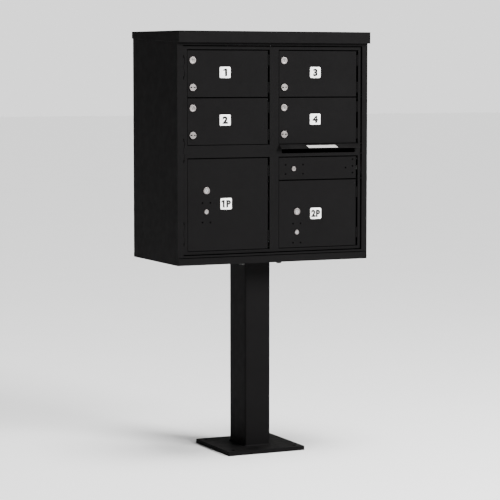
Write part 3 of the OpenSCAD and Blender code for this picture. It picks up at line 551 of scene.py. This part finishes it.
def add_lock_cases():
    """Face, barrel, bore and nut diameters are those of the CAD cases."""
    large = (25.4 * MM, 19 * MM, 12 * MM, 25 * MM)
    small = (17.5 * MM, 14 * MM, 9 * MM, 20 * MM)
    for i in range(1, 5):
        threaded_case("lock_case_%d" % i, "tenant_%d" % i, *large)
    for i in (1, 2):
        threaded_case("customer_lock_case_%d" % i, "parcel_%d" % i, *large)
        threaded_case("control_lock_case_%d" % i, "parcel_%d" % i, *small)
    threaded_case("carrier_lock_case", "master_leaf", *small)


def add_groove_shades():
    """A curved dark arc over each tenant lock's keyway, part of the turning plug's face: painted shade
    standing for the groove there.
    """
    inner, outer, thick = 3.6 * MM, 5.4 * MM, 0.35 * MM
    for i in range(1, 5):
        front = front_of("lock_plug_%d" % i)
        middle = centre_of("lock_case_%d" % i)
        bm = bmesh.new()
        arc = [math.radians(a) for a in range(20, 161, 10)]
        points = [(middle.x + outer * math.cos(a), middle.z + outer * math.sin(a)) for a in arc]
        points += [(middle.x + inner * math.cos(a), middle.z + inner * math.sin(a)) for a in reversed(arc)]
        rings = []
        for y in (front - thick, front):
            rings.append([bm.verts.new((px, y, pz)) for px, pz in points])
        count = len(points)
        for k in range(count):
            j = (k + 1) % count
            bm.faces.new((rings[0][k], rings[0][j], rings[1][j], rings[1][k]))
        half = len(arc)
        for ring in rings:
            for k in range(half - 1):
                bm.faces.new((ring[k], ring[k + 1], ring[count - 2 - k], ring[count - 1 - k]))
        mesh = mesh_of(bm, "shutter")
        new_piece("shutter_%d" % i, mesh, "tenant_lock_%d" % i, DARK_STEEL_AND_GROOVE_SHADE)


def add_keyway_shades():
    """A near-black plate at the bottom of each keyway: painted shade, where hardly any light gets to."""
    plugs = [("lock_plug_%d" % i, "tenant_lock_%d" % i, 8) for i in range(1, 5)]
    for i in (1, 2):
        plugs += [("customer_lock_plug_%d" % i, "customer_lock_%d" % i, 8),
                  ("control_lock_plug_%d" % i, "control_lock_%d" % i, 6)]
    plugs.append(("carrier_lock_plug", "carrier_lock", 6))
    half_w, sunk, bottom = 1.05 * MM, 1.2 * MM, 5.9 * MM
    for node, body, height in plugs:
        front = front_of(node)
        middle = centre_of(node.replace("plug", "case"))
        half_h = (height / 2 - 0.05) * MM
        bm = bmesh.new()
        outline_prism(bm, rectangle(middle.x, middle.z, half_w, half_h), front + sunk, front + bottom)
        new_piece("keyway_" + node, mesh_of(bm, "keyway"), body, SHADOW)


def add_pocket_shades():
    """The same painted shade plates in the two finger pockets of each pull knob."""
    out, half_w, half_h = 6.25 * MM, 3.7 * MM, 2.45 * MM
    sunk, bottom = 1.0 * MM, 2.95 * MM
    for i in range(1, 5):
        node = "pull_knob_%d" % i
        front = front_of(node)
        middle = centre_of(node)
        bm = bmesh.new()
        for side in (-1, 1):
            outline = rectangle(middle.x + side * out, middle.z, half_w, half_h)
            outline_prism(bm, outline, front + sunk, front + bottom)
        new_piece("pocket_" + node, mesh_of(bm, "pocket"), "tenant_%d" % i, SHADOW)


# --------------------------------------------------------------------- welds

def weld_bead(name, width, depth, corner, z, up):
    """A rippled fillet weld round the post at height z, on the flat above or below it."""
    bm = bmesh.new()
    leg = 4.2 * MM
    path = []
    spacing = 1.2 * MM
    half_w, half_d = width / 2, depth / 2
    for sx, sy, a0, start, end in (
            (1, 1, 0, (half_w, -half_d + corner), (half_w, half_d - corner)),
            (-1, 1, 90, (half_w - corner, half_d), (-half_w + corner, half_d)),
            (-1, -1, 180, (-half_w, half_d - corner), (-half_w, -half_d + corner)),
            (1, -1, 270, (-half_w + corner, -half_d), (half_w - corner, -half_d))):
        length = math.hypot(end[0] - start[0], end[1] - start[1])
        steps = int(length / spacing)
        normal = (math.cos(math.radians(a0)), math.sin(math.radians(a0)))
        for i in range(steps):
            t = i / steps
            path.append((start[0] + (end[0] - start[0]) * t, start[1] + (end[1] - start[1]) * t, normal))
        centre = (sx * (half_w - corner), sy * (half_d - corner))
        for i in range(6):
            a = math.radians(a0 + 90 * i / 6)
            path.append((centre[0] + corner * math.cos(a), centre[1] + corner * math.sin(a),
                         (math.cos(a), math.sin(a))))
    rings = []
    travelled = 0.0
    for i, (px, py, (nx, ny)) in enumerate(path):
        travelled += spacing
        ripple = 1 + 0.10 * math.sin(2 * math.pi * travelled / (3.6 * MM)) + 0.05 * math.sin(37.0 * i)
        ring = [bm.verts.new((px - 0.3 * MM * nx, py - 0.3 * MM * ny, z))]
        for k in range(6):
            a = math.pi / 2 * k / 5
            out = leg * ripple * (math.cos(a) if k < 5 else 0.0)
            rise = leg * ripple * math.sin(a)
            sag = 1 - 0.22 * math.sin(2 * a)
            ring.append(bm.verts.new((px + nx * out * sag, py + ny * out * sag, z + up * rise * sag)))
        rings.append(ring)
    for first, second in zip(rings, rings[1:] + rings[:1]):
        for k in range(7):
            j = (k + 1) % 7
            bm.faces.new((first[k], first[j], second[j], second[k]))
    new_piece(name, mesh_of(bm, name, 60), "cabinet", WELD)


def add_welds():
    low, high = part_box("pedestal_post")
    width, depth = high.x - low.x, high.y - low.y
    weld_bead("weld_base", width, depth, 6 * MM, low.z, 1)
    weld_bead("weld_flange", width, depth, 6 * MM, high.z, -1)


# -------------------------------------------------------------------- studio

FLOOR_SIZE = 60.0
OVERHEAD = 4.6
OVERHEAD_SPREAD = math.radians(25)
OVERHEAD_TILT = (math.radians(6), math.radians(4), 0.0)
SOFT_BOX = 800.0
SOFT_BOX_SIZE = 2.2
SOFT_BOX_PLACE = Vector((2.4, -4.4, 3.4))
SOFT_BOX_AIM = Vector((0.0, -0.2, 1.1))
HORIZON_LIGHT = 1.6
DOME_LIGHT = 0.2
BACKDROP_TURN = math.radians(24.6)


def put(name, data):
    thing = bpy.data.objects.new(name, data)
    bpy.context.scene.collection.objects.link(thing)
    return thing


def add_studio():
    """A wide pale floor under an overhead sky light, with a large soft box to the right of the front."""
    bm = bmesh.new()
    bmesh.ops.create_grid(bm, x_segments=2, y_segments=2, size=FLOOR_SIZE)
    floor = put("floor", mesh_of(bm, "floor"))
    floor.data.materials.append(studio_floor("studio_floor"))
    add_world(horizon=HORIZON_LIGHT, dome=DOME_LIGHT)

    sun = bpy.data.lights.new("overhead", "SUN")
    sun.energy = OVERHEAD
    sun.angle = OVERHEAD_SPREAD
    put("overhead", sun).rotation_euler = OVERHEAD_TILT

    box = bpy.data.lights.new("soft_box", "AREA")
    box.shape = "RECTANGLE"
    box.size = box.size_y = SOFT_BOX_SIZE
    box.energy = SOFT_BOX
    lamp = put("soft_box", box)
    lamp.location = SOFT_BOX_PLACE
    lamp.rotation_euler = (SOFT_BOX_AIM - SOFT_BOX_PLACE).to_track_quat("-Z", "Y").to_euler()


def smooth_range(tree, value, low, high, to_low, to_high):
    node = tree.nodes.new("ShaderNodeMapRange")
    node.interpolation_type = "SMOOTHSTEP"
    for socket, number in (("From Min", low), ("From Max", high), ("To Min", to_low), ("To Max", to_high)):
        node.inputs[socket].default_value = number
    tree.links.new(value, node.inputs["Value"])
    return node.outputs["Result"]


def add_world(horizon, dome):
    """A dim sky with a lit backdrop: a low bright band behind the object, as seen from the front left."""
    world = bpy.data.worlds.new("studio")
    world.use_nodes = True
    tree = world.node_tree
    place = tree.nodes.new("ShaderNodeTexCoord")
    split = tree.nodes.new("ShaderNodeSeparateXYZ")
    along = tree.nodes.new("ShaderNodeVectorMath")
    along.operation = "DOT_PRODUCT"
    along.inputs[1].default_value = (math.sin(BACKDROP_TURN), math.cos(BACKDROP_TURN), 0.0)
    low = smooth_range(tree, split.outputs["Z"], 0.05, 0.30, 1.0, 0.0)
    behind = smooth_range(tree, along.outputs["Value"], 0.90, 0.98, 0.0, 1.0)
    both = tree.nodes.new("ShaderNodeMath")
    both.operation = "MULTIPLY"
    tree.links.new(low, both.inputs[0])
    tree.links.new(behind, both.inputs[1])
    strength = smooth_range(tree, both.outputs["Value"], 0.0, 1.0, dome, horizon)
    tree.links.new(place.outputs["Generated"], split.inputs["Vector"])
    tree.links.new(place.outputs["Generated"], along.inputs[0])
    tree.links.new(strength, tree.nodes["Background"].inputs["Strength"])
    tree.nodes["Background"].inputs["Color"].default_value = (1.0, 1.0, 1.0, 1.0)
    bpy.context.scene.world = world


def add_camera():
    """A long lens to the left of the front, at the height of the tenant doors and tilted a little down."""
    turn, tilt = math.radians(-24.765), math.radians(4.925)
    camera = bpy.data.cameras.new("camera")
    camera.sensor_width = 36.0
    camera.lens = 145.548
    camera.clip_end = 90.0
    holder = put("camera", camera)
    holder.location = (-3.1927, -6.9231, 1.4091)
    holder.rotation_euler = (math.pi / 2 - tilt, 0.0, turn)
    bpy.context.scene.camera = holder


dress_cad_nodes()
add_labels()
add_awning_label()
add_lock_cases()
add_groove_shades()
add_keyway_shades()
add_pocket_shades()
add_welds()
add_studio()
add_camera()

bpy.context.view_layer.update()
